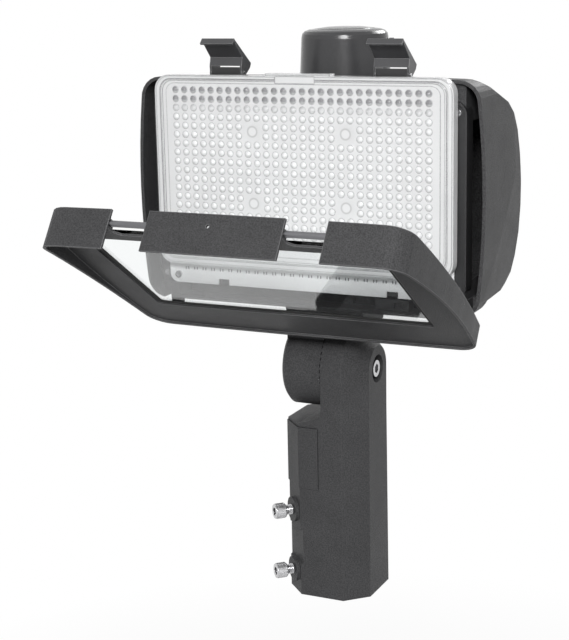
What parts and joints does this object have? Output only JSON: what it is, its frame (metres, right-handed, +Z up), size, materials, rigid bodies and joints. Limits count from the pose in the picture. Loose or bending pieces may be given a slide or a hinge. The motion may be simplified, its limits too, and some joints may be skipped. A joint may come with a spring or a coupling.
{
  "type": "area flood light",
  "caption": "Pole-top area flood light: bowed housing with a lens plate over the board, hinged glass door with latches, photocell, serrated knuckle and slipfitter arm.",
  "frame": {"origin": "centre of the tenon socket's mouth, in the plane of the arm's lower end", "axes": "+Z up along the arm, -Y the way the light faces, +X to the right seen from in front"},
  "size_m": [0.3372, 0.3256, 0.5387],
  "materials": {
    "powder_coat": "cast aluminium with a fine textured dark grey powder coat",
    "bright_steel": "zinc plated steel",
    "dull_steel": "dull blackened steel rod",
    "black_rubber": "matt black",
    "black_sheet": "black painted sheet metal",
    "white_board": "white solder mask on an aluminium core board",
    "clear_lens": "clear moulded polycarbonate",
    "driver_case": "mill finish",
    "dark_plastic": "moulded dark plastic",
    "brass_contact": "plain brass",
    "cell_plastic": "satin dark grey plastic",
    "eye_window": "smoked window",
    "clear_glass": "clear tempered glass",
    "latch_sheet": "dark painted spring steel"
  },
  "bodies": {
    "arm": {"slipfitter": "powder_coat", "splice_cover": "powder_coat", "knuckle_bolt": "bright_steel", "knuckle_washers": "bright_steel", "knuckle_nut": "bright_steel"},
    "clamp_lower": {"clamp_bolt_lower": "bright_steel"},
    "clamp_upper": {"clamp_bolt_upper": "bright_steel"},
    "head": {"head_knuckle": "powder_coat", "bracket_gasket": "black_rubber", "bracket_screws": "bright_steel", "housing": "powder_coat", "hinge_pins": "bright_steel", "led_tray": "black_sheet", "tray_screws": "bright_steel", "led_board": "white_board", "board_screws": "bright_steel", "lens_plate": "clear_lens", "lens_screws": "bright_steel", "driver": "driver_case", "driver_screws": "bright_steel", "terminal_block": "dark_plastic", "photocell_socket": "dark_plastic", "latch_brackets": "black_sheet", "latch_pins": "bright_steel", "latch_screws": "bright_steel"},
    "photocell": {"photocell_blades": "brass_contact", "photocell_base": "cell_plastic", "photocell_cap": "cell_plastic", "photocell_eye": "eye_window"},
    "door": {"door_frame": "powder_coat", "catch_bars": "dull_steel", "door_glass": "clear_glass", "glass_gasket": "black_rubber", "glass_clips": "bright_steel", "clip_screws": "bright_steel"},
    "latch_l": {"latch_left": "latch_sheet"},
    "latch_r": {"latch_right": "latch_sheet"}
  },
  "joints": [
    {"name": "head_tilt", "type": "hinge", "parent": "arm", "child": "head", "pos_m": [0, -0.0015, 0.222], "axis": [1, 0, 0], "range_deg": [-90, 75]},
    {"name": "door_hinge", "type": "hinge", "parent": "head", "child": "door", "pos_m": [0, -0.0555, 0.3015], "axis": [1, 0, 0], "range_deg": [-56, 38]},
    {"name": "latch_left_hinge", "type": "hinge", "parent": "head", "child": "latch_l", "pos_m": [-0.08, -0.056, 0.5005], "axis": [1, 0, 0], "range_deg": [-20, 51]},
    {"name": "latch_right_hinge", "type": "hinge", "parent": "head", "child": "latch_r", "pos_m": [0.08, -0.056, 0.5005], "axis": [1, 0, 0], "range_deg": [-20, 51]},
    {"name": "photocell_twist", "type": "hinge", "parent": "head", "child": "photocell", "pos_m": [0, 0.027, 0.4907], "axis": [0, 0, 1], "range_deg": [0, 35]},
    {"name": "clamp_lower_slide", "type": "slide", "parent": "arm", "child": "clamp_lower", "axis": [-0.7071, -0.7071, 0], "range_m": [0, 0.012]},
    {"name": "clamp_upper_slide", "type": "slide", "parent": "arm", "child": "clamp_upper", "axis": [-0.7071, -0.7071, 0], "range_m": [0, 0.012]}
  ]
}
